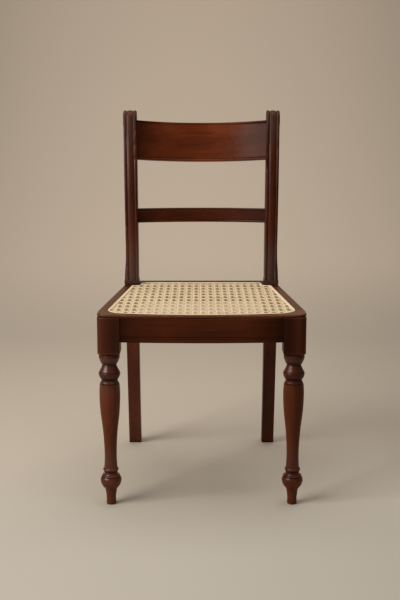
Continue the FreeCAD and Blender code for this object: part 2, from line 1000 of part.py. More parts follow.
def make_rail(name, rail, blanks):
    half = rail_half_length(rail["middle_height"])
    radius = arc_radius(half, rail["sag"])
    sketch = new_sketch(name + "_section", "YZ")
    draw(sketch, rail_section(rail))
    axis_y = size("rail_setback") + rail["sag"] - radius
    reach = half + size("rail_tenon_root")
    bent = revolve(name + "_bent", sketch, Vector(0, 0, 1), axis_y,
                   2 * angle_of_sine(reach / radius), True)
    turned = gather(name + "_leaned", [bent])
    set_rail_place(turned, rail)
    shouldered = cut(name + "_shouldered", turned, blanks)
    rail_solid = fuse(name + "_with_tenons", [shouldered, rail_tenons(name + "_tenon", rail, 0)])
    return finish(rail_solid, name)


def crest():
    return {
        "height": size("crest_height"),
        "thickness": size("crest_thickness"),
        "sag": size("crest_sag"),
        "lean": size("crest_lean"),
        "middle_height": size("crest_middle_height"),
        "tenon_height": size("crest_tenon_height"),
    }


def mid_rail():
    return {
        "height": size("mid_rail_height"),
        "thickness": size("mid_rail_thickness"),
        "sag": size("mid_rail_sag"),
        "lean": size("mid_rail_lean"),
        "middle_height": size("mid_rail_middle_height"),
        "tenon_height": size("mid_rail_tenon_height"),
    }


# Aprons

def front_apron_section():
    # side view at the middle: a bead between two quirks runs above the lower edge
    face = size("front_apron_setback") - size("front_apron_bow")
    back = face + size("front_apron_thickness")
    low = seat_bottom() - size("apron_height")
    bead_low = low + size("apron_bead_rise")
    bead_high = bead_low + size("apron_bead_width")
    depth = size("apron_bead_depth")
    bead_bulge_share = 0.3
    return [
        (back, low),
        (back, seat_bottom()),
        (face + depth, seat_bottom()),
        (face, seat_bottom() - depth, QUARTER_BULGE_SHARE),
        (face, bead_high + depth),
        (face + depth, bead_high),
        (face + depth, bead_low, bead_bulge_share),
        (face, bead_low - depth),
        (face, low + depth),
        (face + depth, low, QUARTER_BULGE_SHARE),
    ]


def make_front_apron():
    sketch = new_sketch("front_apron_section", "YZ")
    draw(sketch, front_apron_section())
    radius = front_apron_radius()
    axis_y = size("front_apron_setback") - size("front_apron_bow") + radius
    reach = block_inner_x() + size("block_width") / 2
    bowed = revolve("front_apron_bowed", sketch, Vector(0, 0, 1), axis_y,
                    2 * angle_of_sine(reach / radius), True)
    span = wide_box("front_apron_span", Size(0.0, "0"), 2 * block_inner_x(), -size("block_width"),
                    2 * size("block_width"), Size(0.0, "0"), size("seat_height"))
    board = common("front_apron_board", bowed, span)
    tenons = []
    root_depth = size("rail_tenon_root")
    length = root_depth + size("apron_tenon_length")
    for side, hand in HANDS:
        middle = side * (block_inner_x() - root_depth + length / 2)
        tenons.append(wide_box("front_apron_tenon_" + hand, middle, length,
                               front_tenon_middle_y() - size("apron_tenon_thickness") / 2,
                               size("apron_tenon_thickness"), apron_tenon_bottom(),
                               size("apron_tenon_height")))
    return fuse("front_apron_with_tenons", [board] + tenons)


def rear_apron_tenon_bottom():
    return seat_bottom() - size("rear_apron_height") / 2 - size("apron_tenon_height") / 2


def rear_apron_tenon(name, side, gap):
    root_depth = size("rail_tenon_root")
    length = root_depth + size("apron_tenon_length") + gap
    middle = side * (post_inner_x() - root_depth + length / 2)
    middle_y = rear_apron_front_y() + size("rear_apron_thickness") / 2
    return wide_box(name, middle, length, middle_y - size("apron_tenon_thickness") / 2 - gap,
                    size("apron_tenon_thickness") + 2 * gap, rear_apron_tenon_bottom() - gap,
                    size("apron_tenon_height") + 2 * gap)


def make_rear_apron(blanks):
    board = wide_box("rear_apron_board", Size(0.0, "0"), 2 * post_x(), rear_apron_front_y(),
                     size("rear_apron_thickness"), seat_bottom() - size("rear_apron_height"),
                     size("rear_apron_height"))
    shouldered = cut("rear_apron_shouldered", board, blanks)
    tenons = [rear_apron_tenon("rear_apron_tenon_" + hand, side, 0) for side, hand in HANDS]
    return fuse("rear_apron_with_tenons", [shouldered] + tenons)


def side_apron_rear_tenon(name, side, gap):
    root_depth = size("rail_tenon_root")
    start = size("post_setback") - root_depth
    middle = side * side_apron_x(size("post_setback"), size("side_apron_thickness") / 2)
    return wide_box(name, middle, size("apron_tenon_thickness") + 2 * gap, start,
                    root_depth + size("apron_tenon_length") + gap, apron_tenon_bottom() - gap,
                    size("apron_tenon_height") + 2 * gap)


def side_apron_front_tenon(name, side):
    length = size("apron_tenon_length") + size("rail_tenon_root")
    start = size("block_width") - size("apron_tenon_length")
    middle = side * side_apron_x(size("block_width"), size("side_apron_thickness") / 2)
    return wide_box(name, middle, size("apron_tenon_thickness"), start, length,
                    apron_tenon_bottom(), size("apron_tenon_height"))


def side_apron_outline(side):
    front = size("block_width")
    rear = size("post_setback") + size("rail_tenon_root")
    thickness = size("side_apron_thickness")
    corners = [
        (side_apron_x(front, 0), front),
        (side_apron_x(rear, 0), rear),
        (side_apron_x(rear, thickness), rear),
        (side_apron_x(front, thickness), front),
    ]
    return mirrored(corners, side)


def make_side_apron(side, hand, blank):
    sketch = new_sketch("side_apron_outline_" + hand, "XY", seat_bottom() - size("apron_height"))
    draw(sketch, side_apron_outline(side))
    board = extrude("side_apron_board_" + hand, sketch, size("apron_height"))
    shouldered = cut("side_apron_shouldered_" + hand, board, blank)
    front = side_apron_front_tenon("side_apron_front_tenon_" + hand, side)
    rear = side_apron_rear_tenon("side_apron_rear_tenon_" + hand, side, 0)
    return fuse("side_apron_with_tenons_" + hand, [shouldered, front, rear])


# Seat frame

def lip_outline():
    # the right half from the front corner to the rear edge, notched round the post
    gap = size("fit_gap")
    radius = size("lip_corner_radius")
    side = size("front_width") / 2 + size("lip_overhang")
    corner = side - radius
    front = size("lip_front_bow") - size("lip_front_reach")
    rear = size("post_setback") - gap
    notch = post_inner_x() - gap
    back = size("post_setback") + size("frame_rear_reach")
    return symmetric([
        (corner, front, size("lip_front_bow") / (2 * corner)),
        (side, front + radius, QUARTER_BULGE_SHARE),
        (side, size("block_width")),
        (post_outer_x(), rear),
        (notch, rear),
        (notch, back),
    ])


def core_outline():
    # inside the aprons, notched round the legs
    gap = size("fit_gap")
    front_leg = block_inner_x() - gap
    behind_leg = size("block_width") + gap
    thickness = size("side_apron_thickness") + gap
    rear = size("post_setback") - gap
    post = post_inner_x() - size("plinth_step")
    front = front_apron_back_y(front_leg) + gap
    bow = front - gap - front_apron_back_y(Size(0.0, "0"))
    return symmetric([
        (front_leg, front, bow / (2 * front_leg)),
        (front_leg, behind_leg),
        (side_apron_x(behind_leg, thickness), behind_leg),
        (side_apron_x(rear, thickness), rear),
        (post, rear),
        (post, rear_apron_front_y() - gap),
    ])


def cane_outline(inset):
    # the cane's edge, drawn in by inset, with a notch round each post
    width = size("cane_corner_width")
    length = size("cane_corner_length")
    chord = root(width * width + length * length)
    bulge = size("cane_corner_bulge_share")
    shrink = 1 - inset / arc_radius(chord / 2, bulge * chord)
    bow = size("cane_front_bow")
    corner_y = size("cane_front_border") - size("lip_front_reach") + inset + bow
    front_y = corner_y + length * shrink
    front_x = lip_side_x(front_y) - size("cane_border") - inset
    corner_x = front_x - width * shrink
    rear_y = size("post_setback") - size("cane_post_gap") - inset
    rear_x = lip_side_x(rear_y) - size("cane_border") - inset
    radius = size("cane_notch_radius")
    notch = post_inner_x() - size("cane_notch_gap") - inset
    back = size("post_setback") + size("frame_rear_reach") - size("cane_rear_border") - inset
    return symmetric([
        (corner_x, corner_y, bow / (2 * corner_x)),
        (front_x, front_y, bulge),
        (rear_x, rear_y),
        (notch + radius + inset, rear_y),
        (notch, rear_y + radius + inset, -QUARTER_BULGE_SHARE),
        (notch, back - radius + inset),
        (notch - radius + inset, back, QUARTER_BULGE_SHARE),
    ])


def lip_side_x(y):
    # the frame's outer edge, which tapers from the block to the post
    front = size("front_width") / 2 + size("lip_overhang")
    rear = post_outer_x()
    run = size("post_setback") - size("fit_gap") - size("block_width")
    return front - (front - rear) * (y - size("block_width")) / run


def slab(name, outline, bottom, thickness):
    sketch = new_sketch(name + "_outline", "XY", bottom)
    draw(sketch, outline)
    return extrude(name, sketch, thickness)


def is_nosing(edge):
    # the lip's outer edges, apart from the notches round the posts
    bounds = edge.BoundBox
    close = size("fit_gap").number
    notch = size("post_setback").number - 2 * close
    back = (size("post_setback") + size("frame_rear_reach")).number - close
    level = is_level_at(edge, size("seat_height")) or is_level_at(edge, seat_bottom())
    return level and (bounds.YMin < notch or bounds.YMin > back)


def make_seat_ring(screw_holes):
    depth = size("lip_thickness") + size("core_depth")
    core_bottom = seat_bottom() - size("core_depth")
    lip = slab("lip", lip_outline(), seat_bottom(), size("lip_thickness"))
    nosed = fillet("lip_nosed", lip, size("nosing_radius").number, is_nosing)
    core = slab("core", core_outline(), core_bottom, size("core_depth"))
    whole = fuse("seat_board", [nosed, core])
    opening = slab("cane_opening", cane_outline(size("cane_bearing")), core_bottom, depth)
    rebate = slab("cane_rebate", cane_outline(-size("fit_gap")),
                  size("seat_height") - size("cane_rebate_depth"), size("cane_rebate_depth"))
    return cut("seat_ring", whole, gather("seat_cuts", [opening, rebate] + screw_holes))


def make_seat_frame(ring):
    # the ring is four members: the front and rear ones run right across
    front_end = size("front_member_depth")
    rear_start = size("post_setback") - size("rear_member_depth")
    end = size("post_setback") + size("frame_rear_reach")
    overrun = size("cut_overrun")
    width = size("front_width") + 2 * overrun
    low = seat_bottom() - size("core_depth") - overrun
    depth = size("lip_thickness") + size("core_depth") + 2 * overrun
    reach = size("lip_front_reach") + overrun
    zero = Size(0.0, "0")
    places = {
        "front": (zero, width, -reach, reach + front_end),
        "rear": (zero, width, rear_start, end - rear_start + overrun),
        "left": (-width / 4, width / 2, front_end, rear_start - front_end),
        "right": (width / 4, width / 2, front_end, rear_start - front_end),
    }
    for name, (middle, across, start, span) in places.items():
        place = wide_box("seat_part_" + name, middle, across, start, span, low, depth)
        finish(common("seat_member_" + name, ring, place), "seat_frame_" + name)


# Cane

def outline_wire(corners, height):
    # the same outlines as in the sketches, as a wire at a height
    points = [Vector(corner[0].number, corner[1].number, height) for corner in corners]
    edges = []
    for index, corner in enumerate(corners):
        before = corners[index - 1]
        if len(corner) == 2:
            edges.append(Part.LineSegment(points[index - 1], points[index]).toShape())
            continue
        middle = arc_middle(before, corner, corner[2])
        through = Vector(middle[0].number, middle[1].number, height)
        edges.append(Part.Arc(points[index - 1], through, points[index]).toShape())
    return Part.Wire(edges)


def cane_gap_corners(middle_x, middle_y, height):
    # an eight-sided gap, as the slanting strands leave it
    across = size("cane_gap_width").number / 2
    along = size("cane_gap_depth").number / 2
    corner = size("cane_gap_corner").number
    steps = [
        (-across, along - corner), (corner - across, along),
        (across - corner, along), (across, along - corner),
        (across, corner - along), (across - corner, -along),
        (corner - across, -along), (-across, corner - along),
    ]
    return [Vector(middle_x + step[0], middle_y + step[1], height) for step in steps]


def make_cane_panel():
    # a flat net: one face with a gap wherever a whole one fits inside the binding
    height = size("seat_height").number - size("cane_rebate_depth").number
    thickness = Vector(0, 0, size("cane_thickness").number)
    close = size("fit_gap").number
    field = Part.Face(outline_wire(cane_outline(size("binding_width")), height)).extrude(thickness)
    column = size("cane_column_pitch").number
    row = size("cane_row_pitch").number
    bounds = field.BoundBox
    columns = int(bounds.XMax / column)
    rows = int(bounds.YLength / row)
    first_row = bounds.YMin + (bounds.YLength - (rows - 1) * row) / 2
    wires = [outline_wire(cane_outline(0), height)]
    for column_index in range(-columns, columns + 1):
        for row_index in range(rows):
            corners = cane_gap_corners(column_index * column, first_row + row_index * row, height)
            if all(field.isInside(corner + thickness / 2, close, True) for corner in corners):
                wires.append(Part.makePolygon(corners + corners[:1]))
    print("gaps in the cane:", len(wires) - 1)
    net = Part.Face(wires)
    panel = doc.addObject("Part::Feature", "cane_net")
    panel.Shape = net.extrude(thickness)
    return finish(panel, "cane_panel")


def make_cane_binding():
    bottom = size("seat_height") - size("cane_rebate_depth") + size("cane_thickness")
    outer = slab("binding_outer", cane_outline(0), bottom, size("binding_thickness"))
    inner = slab("binding_inner", cane_outline(size("binding_width")), bottom,
                 size("binding_thickness"))
    return finish(cut("binding_ring", outer, inner), "cane_binding")


# Glue blocks and screws

def corner_block_top():
    return seat_bottom() - size("core_depth")


def corner_block_outline(end, side):
    # fills the corner between two aprons, notched round the leg
    reach = size("corner_block_reach")
    thickness = size("side_apron_thickness")
    gap = size("fit_gap")
    if end == "front":
        leg = block_inner_x() - gap
        tip = leg - reach
        along = size("block_width") + gap
        corners = [
            (tip, front_apron_back_y(tip)),
            (leg, front_apron_back_y(leg)),
            (leg, along),
            (side_apron_x(along, thickness), along),
            (side_apron_x(along + reach, thickness), along + reach),
        ]
    else:
        leg = post_inner_x() - size("plinth_step")
        tip = leg - reach
        along = size("post_setback") - gap
        corners = [
            (side_apron_x(along - reach, thickness), along - reach),
            (side_apron_x(along, thickness), along),
            (leg, along),
            (leg, rear_apron_front_y()),
            (tip, rear_apron_front_y()),
        ]
    return mirrored(corners, side)


def screw_profile(length, gap):
    # half of a countersunk screw's side view: its head's flat top lies at zero
    shank = size("screw_shank_radius") + gap
    head = size("screw_head_radius") + gap
    return [
        (Size(0.0, "0"), -length - gap),
        (shank, -length - gap),
        (shank, -size("screw_head_height")),
        (head, Size(0.0, "0")),
        (Size(0.0, "0"), Size(0.0, "0")),
    ]


def make_screw(name, length, gap, place):
    # the head's top faces +Z as drawn; it leans about X and then turns about Z
    sketch = new_sketch(name + "_profile", "XZ")
    draw(sketch, screw_profile(length, gap))
    turned = revolve(name + "_turned", sketch, Vector(0, 0, 1), Size(0.0, "0"), Size(360.0, "360"))
    leaned = gather(name + "_leaned", [turned])
    leaned.Placement = Placement(Vector(), Rotation(Vector(1, 0, 0), place["lean"]))
    screw = gather(name, [leaned])
    screw.Placement = Placement(Vector(), Rotation(Vector(0, 0, 1), 1))
    tie(screw, "Placement.Rotation.Angle", place["turn"])
    for path, value in zip("xyz", place["point"]):
        tie(screw, "Placement.Base." + path, value)
    return screw


def brace_screw_place(end, side):
    # square to a glue block's slanting face, into the leg's inner face
    corners = corner_block_outline(end, side)
    near = corners[0] if end == "front" else corners[4]
    far = corners[4] if end == "front" else corners[0]
    across = near[0] - far[0]
    along = near[1] - far[1]
    length = root(across * across + along * along)
    shift = size("brace_screw_shift") / length
    point = ((near[0] + far[0]) / 2 + across * shift, (near[1] + far[1]) / 2 + along * shift,
             corner_block_top() - size("corner_block_height") / 2)
    turn = angle_of_tangent(along / across)
    forward = 90 if end == "front" else -90
    return {"point": point, "lean": 90, "turn": turn + forward}


def frame_screw_place(end, side):
    # straight up through a glue block into the seat frame
    offset = size("frame_screw_offset")
    if end == "front":
        x = block_inner_x() - size("frame_screw_inset")
        y = front_apron_back_y(block_inner_x()) + offset
    else:
        x = post_inner_x() - offset
        y = size("post_setback") - offset
    bottom = corner_block_top() - size("corner_block_height")
    return {"point": (side * x, y, bottom), "lean": 180, "turn": 0}


def each_corner():
    return [(end, side, end + "_" + hand) for end in ENDS for side, hand in HANDS]


def make_screws(name, length, place_of, gap):
    screws = []
    for end, side, corner in each_corner():
        screws.append(make_screw(name + "_" + corner, length, gap, place_of(end, side)))
    return screws


def make_corner_block(end, side, corner, holes):
    bottom = corner_block_top() - size("corner_block_height")
    block = slab("glue_block_" + corner, corner_block_outline(end, side), bottom,
                 size("corner_block_height"))
    return finish(cut("glue_block_bored_" + corner, block, holes), "corner_block_" + corner)


# The whole chair

def build_chair():
    gap = size("fit_gap")
    bore = size("screw_hole_gap")
    braces = ("brace_screw", size("brace_screw_length"), brace_screw_place)
    frames = ("frame_screw", size("frame_screw_length"), frame_screw_place)
    brace_holes = gather("brace_holes", make_screws("brace_hole", *braces[1:], bore))
    frame_holes = gather("frame_holes", make_screws("frame_hole", *frames[1:], bore))
    for side, hand in HANDS:
        make_front_leg(side, hand, brace_holes)
    right_blank = make_rear_leg_blank()
    blanks = {"right": right_blank, "left": mirror("rear_leg_blank_left", right_blank)}
    both_blanks = gather("rear_leg_blanks", list(blanks.values()))
    shared = [
        rail_tenons("crest_mortise", crest(), gap),
        rail_tenons("mid_mortise", mid_rail(), gap),
        brace_holes,
    ]
    for side, hand in HANDS:
        own = [
            rear_apron_tenon("rear_apron_mortise_" + hand, side, gap),
            side_apron_rear_tenon("side_apron_mortise_" + hand, side, gap),
        ]
        make_rear_leg(hand, blanks[hand], shared + own)
    make_rail("crest_rail", crest(), both_blanks)
    make_rail("mid_rail", mid_rail(), both_blanks)
    finish(make_front_apron(), "front_apron")
    finish(make_rear_apron(both_blanks), "rear_apron")
    for side, hand in HANDS:
        finish(make_side_apron(side, hand, blanks[hand]), "side_apron_" + hand)
    make_seat_frame(make_seat_ring([frame_holes]))
    make_cane_panel()
    make_cane_binding()
    holes = gather("block_holes", [brace_holes, frame_holes])
    for end, side, corner in each_corner():
        make_corner_block(end, side, corner, holes)
    flush = Size(0.0, "0")
    finish(gather("brace_screws", make_screws(*braces, flush)), "corner_block_screws")
    finish(gather("frame_screws", make_screws(*frames, flush)), "seat_frame_screws")


def check_objects():
    for thing in doc.Objects:
        for state in thing.State:
            if state in ("Invalid", "Error"):
                raise RuntimeError(thing.Name + " is " + state)
    for thing in SUBPARTS:
        if thing.Shape.isNull() or not thing.Shape.isValid():
            raise RuntimeError(thing.Label + " has no valid shape")


def write_parts():
    os.makedirs("parts", exist_ok=True)
    for thing in SUBPARTS:
        thing.Shape.exportStep("parts/" + thing.Label + ".step")
        print(thing.Label, round(thing.Shape.Volume))


fill_sheet()
build_chair()
doc.recompute()
check_objects()
write_parts()
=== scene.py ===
import math
import random

import bmesh
import bpy
from mathutils import Matrix, Vector


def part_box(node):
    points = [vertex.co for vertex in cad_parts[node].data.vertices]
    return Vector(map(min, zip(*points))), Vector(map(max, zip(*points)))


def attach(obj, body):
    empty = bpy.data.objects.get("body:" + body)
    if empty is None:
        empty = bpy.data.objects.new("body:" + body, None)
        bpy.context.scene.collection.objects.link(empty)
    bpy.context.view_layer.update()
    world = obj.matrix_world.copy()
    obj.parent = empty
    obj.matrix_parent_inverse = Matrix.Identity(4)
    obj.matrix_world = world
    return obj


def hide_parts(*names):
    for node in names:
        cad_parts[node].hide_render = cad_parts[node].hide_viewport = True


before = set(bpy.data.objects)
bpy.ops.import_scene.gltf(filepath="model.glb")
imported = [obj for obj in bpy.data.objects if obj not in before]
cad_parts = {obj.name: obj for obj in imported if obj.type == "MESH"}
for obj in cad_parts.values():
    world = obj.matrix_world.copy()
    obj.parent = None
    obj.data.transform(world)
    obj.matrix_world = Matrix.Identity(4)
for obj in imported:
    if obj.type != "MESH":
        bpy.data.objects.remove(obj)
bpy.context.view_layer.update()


# Shader building

def colour(shade):
    # red, green and blue with full cover
    return (shade[0], shade[1], shade[2], 1.0)


class Wire:
    # an output socket that takes part in sums

    def __init__(self, finish, socket):
        self.finish = finish
        self.socket = socket

    def __add__(self, other):
        return self.finish.maths("ADD", self, other)

    def __radd__(self, other):
        return self.finish.maths("ADD", other, self)

    def __sub__(self, other):
        return self.finish.maths("SUBTRACT", self, other)

    def __rsub__(self, other):
        return self.finish.maths("SUBTRACT", other, self)

    def __mul__(self, other):
        return self.finish.maths("MULTIPLY", self, other)

    def __rmul__(self, other):
        return self.finish.maths("MULTIPLY", other, self)

    def __pow__(self, other):
        return self.finish.maths("POWER", self, other)


class Finish:
    # a material with one Principled shader, whose nodes all come from one method

    def __init__(self, name):
        self.material = bpy.data.materials.new(name)
        self.material.use_nodes = True
        self.tree = self.material.node_tree
        self.shader = self.tree.nodes["Principled BSDF"]

    def node(self, kind, settings, values, output=0):
        made = self.tree.nodes.new(kind)
        for name, value in settings.items():
            if name == "stops":
                self.setStops(made.color_ramp, value)
            else:
                setattr(made, name, value)
        for name, value in values.items():
            self.join(value, made.inputs[name])
        return Wire(self, made.outputs[output])

    def setStops(self, ramp, stops):
        while len(ramp.elements) > 1:
            ramp.elements.remove(ramp.elements[-1])
        ramp.elements[0].position = stops[0][0]
        ramp.elements[0].color = colour(stops[0][1])
        for place, shade in stops[1:]:
            ramp.elements.new(place).color = colour(shade)

    def join(self, value, socket):
        if isinstance(value, Wire):
            self.tree.links.new(value.socket, socket)
        else:
            socket.default_value = value

    def put(self, name, value):
        self.join(value, self.shader.inputs[name])

    def maths(self, operation, *terms):
        return self.node("ShaderNodeMath", {"operation": operation}, dict(enumerate(terms)))

    def mixColours(self, share, first, second, blend="MIX"):
        settings = {"data_type": "RGBA", "blend_type": blend}
        return self.node("ShaderNodeMix", settings, {0: share, 6: first, 7: second}, 2)

    def remap(self, value, start, end, low, high, curve="LINEAR"):
        # carries start to end over to low to high, and stays there outside
        values = {"Value": value, "From Min": start, "From Max": end, "To Min": low, "To Max": high}
        return self.node("ShaderNodeMapRange", {"interpolation_type": curve}, values)

    def noise(self, place, scale, detail, rough=0.5):
        values = {"Vector": place, "Scale": scale, "Detail": detail, "Roughness": rough}
        return self.node("ShaderNodeTexNoise", {}, values)

    def objectPlace(self, offset=(0, 0, 0), stretch=(1, 1, 1)):
        place = self.node("ShaderNodeTexCoord", {}, {}, "Object")
        values = {"Vector": place, "Location": offset, "Scale": stretch}
        return self.node("ShaderNodeMapping", {}, values)

    def axisOf(self, place, line):
        return self.node("ShaderNodeSeparateXYZ", {}, {"Vector": place}, line)


# Wood

woodLook = {
    "darkTone": (0.020, 0.0050, 0.0012),
    "middleTone": (0.092, 0.0175, 0.0035),
    "lightTone": (0.200, 0.0425, 0.0125),
    "darkStop": 0.24,
    "middleStop": 0.54,
    "lightStop": 0.86,
    "poreTone": (0.010, 0.0030, 0.0010),
    # near-black that darkens glazed joints and also paints shade in the turnings' necks and under
    # their balls
    "glazeAndShadeTone": (0.004, 0.0012, 0.0004),
    # painted sheen: a greyish tone that stands for light reflected off the posts
    "sheenTone": (0.085, 0.056, 0.046),
    "warmTone": (0.200, 0.0400, 0.0060),
    # painted warm sheen: a browner, paler tone for the seat frame
    "sheenBrownTone": (0.110, 0.0460, 0.0120),
    "shift": 3.0,
    "warpScale": 9.0,
    "warpShare": 0.2,
    "grainStretch": 0.055,
    "grainScale": 85.0,
    "grainRough": 0.62,
    "grainShare": 0.3,
    "bandScale": 18.7,
    "bandShare": 0.45,
    "mottleScale": 7.0,
    "mottleRough": 0.55,
    "mottleShare": 0.35,
    "poreStretch": 0.0275,
    "poreScale": 420.0,
    "poreStart": 0.60,
    "poreEnd": 0.72,
    "poreCover": 0.55,
    # painted shade in grooves: how far ambient occlusion looks, its levels, how dark it paints
    # hollows and how far it dulls their coat
    "grooveShadeReach": 0.012,
    "grooveShadeStart": 0.35,
    "grooveShadeEnd": 0.85,
    "grooveShadeCover": 0.85,
    "grooveShadeDulling": 0.5,
    "edgeWidth": 0.0009,
    "roughness": 0.45,
    "grainRoughness": 0.16,
    "mottleRoughness": 0.22,
    "specularLevel": 0.04,
    "coatIndex": 1.5,
    "coatRoughness": 0.30,
    "grainHeight": 0.4,
    "poreHeight": 0.25,
    "warpHeight": 1.2,
    "bumpStrength": 0.06,
    "bumpDepth": 0.0006,
}


def stretchAlong(axis, amount):
    return tuple(amount if name == axis else 1.0 for name in "xyz")


def glazeAndLightShare(finish, place, wander, limits):
    # how much of one entry, glaze and painted light alike, is left after each of its lines
    share = 1.0
    for line, start, end in limits:
        away = finish.maths("ABSOLUTE", finish.axisOf(place, line)) + wander
        share = finish.remap(away, start, end, 0.0, share, "SMOOTHSTEP")
    return share


def makeWood(name, axis, seed, lift, strength, coat, glazesAndPaintedLight):
    # polished red-brown wood with its grain along one axis, painted shade in its grooves, and glazes
    # and painted light over parts of it
    look = woodLook
    finish = Finish(name)
    random.seed(seed)
    offset = tuple(random.uniform(-look["shift"], look["shift"]) for side in range(3))
    place = finish.objectPlace(offset)
    along = finish.objectPlace(offset, stretchAlong(axis, look["grainStretch"]))
    fine = finish.objectPlace(offset, stretchAlong(axis, look["poreStretch"]))
    warp = finish.noise(place, look["warpScale"], 2.0)
    grain = finish.noise(along, look["grainScale"], 6.0, look["grainRough"])
    band = finish.noise(along, look["bandScale"], 3.0)
    mottle = finish.noise(place, look["mottleScale"], 3.0, look["mottleRough"])
    pores = finish.noise(fine, look["poreScale"], 2.0)
    tone = band * look["bandShare"] + grain * look["grainShare"] + mottle * look["mottleShare"]
    tone = tone + (warp - 0.5) * look["warpShare"] + lift
    stops = [
        (look[depth + "Stop"], [part * strength for part in look[depth + "Tone"]])
        for depth in ("dark", "middle", "light")
    ]
    shade = finish.node("ShaderNodeValToRGB", {"stops": stops}, {0: tone})
    poreShare = finish.remap(pores, look["poreStart"], look["poreEnd"], 0.0, look["poreCover"])
    shade = finish.mixColours(poreShare, shade, colour(look["poreTone"]))
    # painted shade: hollows found by ambient occlusion are darkened and their coat dulled
    openness = finish.node("ShaderNodeAmbientOcclusion", {"samples": 8, "only_local": False}, {
        "Distance": look["grooveShadeReach"]}, "AO")
    grooveShade = finish.remap(openness, look["grooveShadeStart"], look["grooveShadeEnd"], look["grooveShadeCover"], 0.0)
    shade = finish.mixColours(grooveShade, shade, colour(look["darkTone"]))
    gloss = 1.0 - grooveShade * look["grooveShadeDulling"]
    whole = finish.node("ShaderNodeTexCoord", {}, {}, "Object")
    for tint, cover, dulling, wander, limits in glazesAndPaintedLight:
        share = glazeAndLightShare(finish, whole, (mottle - 0.5) * wander, limits)
        shade = finish.mixColours(share * cover, shade, colour(look[tint]))
        gloss = gloss - share * dulling
    rough = look["roughness"] + (grain - 0.5) * look["grainRoughness"]
    rounded = finish.node("ShaderNodeBevel", {"samples": 4}, {"Radius": look["edgeWidth"]})
    height = grain * look["grainHeight"] + pores * look["poreHeight"] + warp * look["warpHeight"]
    finish.put("Base Color", shade)
    finish.put("Roughness", rough + (mottle - 0.5) * look["mottleRoughness"])
    finish.put("Coat Weight", finish.maths("MAXIMUM", coat * gloss, 0.0))
    finish.put("Coat Roughness", look["coatRoughness"])
    finish.put("Coat IOR", look["coatIndex"])
    finish.put("Specular IOR Level", look["specularLevel"])
    finish.put("Normal", finish.node("ShaderNodeBump", {}, {
        "Strength": look["bumpStrength"], "Distance": look["bumpDepth"], "Height": height,
        "Normal": rounded}))
    return finish.material


# each entry, glaze and painted light alike, gives its tone and cover, how far it dulls the coat, how
# far its edge wanders, and lines of (axis, distance from the middle or floor where it starts,
# distance where it is full)
legGlazeAndShade = [
    ("glazeAndShadeTone", 0.22, 0.60, 0.03, [("Z", 0.345, 0.365)]),
    ("warmTone", 0.05, 0.0, 0.03, [("Z", 0.345, 0.365)]),
    ("glazeAndShadeTone", 0.58, 0.15, 0.03, [("Z", 0.345, 0.365), ("X", 0.224, 0.190)]),
    ("warmTone", 0.12, 0.60, 0.03, [("Z", 0.285, 0.260), ("Z", 0.10, 0.16)]),
    ("warmTone", 0.12, 0.50, 0.03, [("Z", 0.070, 0.045)]),
    # painted shade: dark rings in the grooves of the turning, with the coat dulled
    ("glazeAndShadeTone", 0.60, 0.40, 0.004, [("Z", 0.3400, 0.3355), ("Z", 0.3270, 0.3315)]),
    ("glazeAndShadeTone", 0.50, 0.40, 0.004, [("Z", 0.3030, 0.2995), ("Z", 0.2920, 0.2955)]),
    # painted shade: the lower half of the ball darker
    ("glazeAndShadeTone", 0.35, 0.30, 0.004, [("Z", 0.3180, 0.3080), ("Z", 0.2920, 0.2960)]),
]
postGlazeAndSheen = [
    ("glazeAndShadeTone", 0.12, 0.0, 0.03, [("Z", 0.47, 0.60)]),
    # painted reflection of the pale cane seat on the lower posts, with the coat dulled
    ("sheenTone", 0.50, 0.30, 0.03, [("Z", 0.60, 0.50), ("Z", 0.42, 0.46)]),
    # painted sheen of the light above on the post tops, with the coat dulled
    ("sheenTone", 0.30, 0.70, 0.03, [("Z", 0.77, 0.84)]),
]
railGlazeAndShade = [
    # darker towards both ends: partly dark joints, partly painted shade where the curved crest rail
    # turns from the lamp
    ("glazeAndShadeTone", 0.66, 0.35, 0.03, [("X", 0.08, 0.17)]),
    ("glazeAndShadeTone", 0.40, 0.20, 0.01, [("Z", 0.846, 0.860)]),
]
apronGlaze = [
    ("glazeAndShadeTone", 0.45, 0.40, 0.03, [("X", 0.08, 0.19)]),
    ("glazeAndShadeTone", 0.35, 0.20, 0.03, [("X", 0.150, 0.180)]),
]
# painted sheen: the seat frame tinted browner and paler, as light from above makes its top look
frameSheen = [("sheenBrownTone", 0.38, 0.0, 0.03, [("Z", 0.40, 0.42)])]
woodPieces = {
    # node: (grain axis, seed, lift, strength of tone and painted shading, coat, glazes and painted
    # light)
    "front_leg_left": ("z", 11, 0.04, 0.84, 0.8, legGlazeAndShade),
    # darker than the left leg: painted shade on the side away from the lamp
    "front_leg_right": ("z", 12, 0.02, 0.70, 0.50, legGlazeAndShade),
    "rear_leg_left": ("z", 13, 0.0, 0.86, 0.48, postGlazeAndSheen),
    # darker than the left leg: painted shade on the side away from the lamp
    "rear_leg_right": ("z", 14, -0.02, 0.70, 0.28, postGlazeAndSheen),
    "crest_rail": ("x", 15, 0.06, 1.12, 0.17, railGlazeAndShade),
    "mid_rail": ("x", 16, 0.0, 0.86, 0.23, railGlazeAndShade),
    "front_apron": ("x", 17, 0.0, 0.68, 0.12, apronGlaze),
    "rear_apron": ("x", 18, -0.02, 0.7, 0.23, []),
    "side_apron_left": ("y", 19, 0.0, 0.7, 0.23, []),
    "side_apron_right": ("y", 20, 0.0, 0.7, 0.23, []),
    # brightened: a painted highlight along the front lip
    "seat_frame_front": ("x", 21, 0.0, 1.2, 0.45, frameSheen),
    "seat_frame_rear": ("x", 22, 0.0, 0.5, 0.23, []),
    "seat_frame_left": ("y", 23, 0.0, 0.70, 0.3, frameSheen),
    "seat_frame_right": ("y", 24, 0.0, 0.85, 0.3, frameSheen),
}


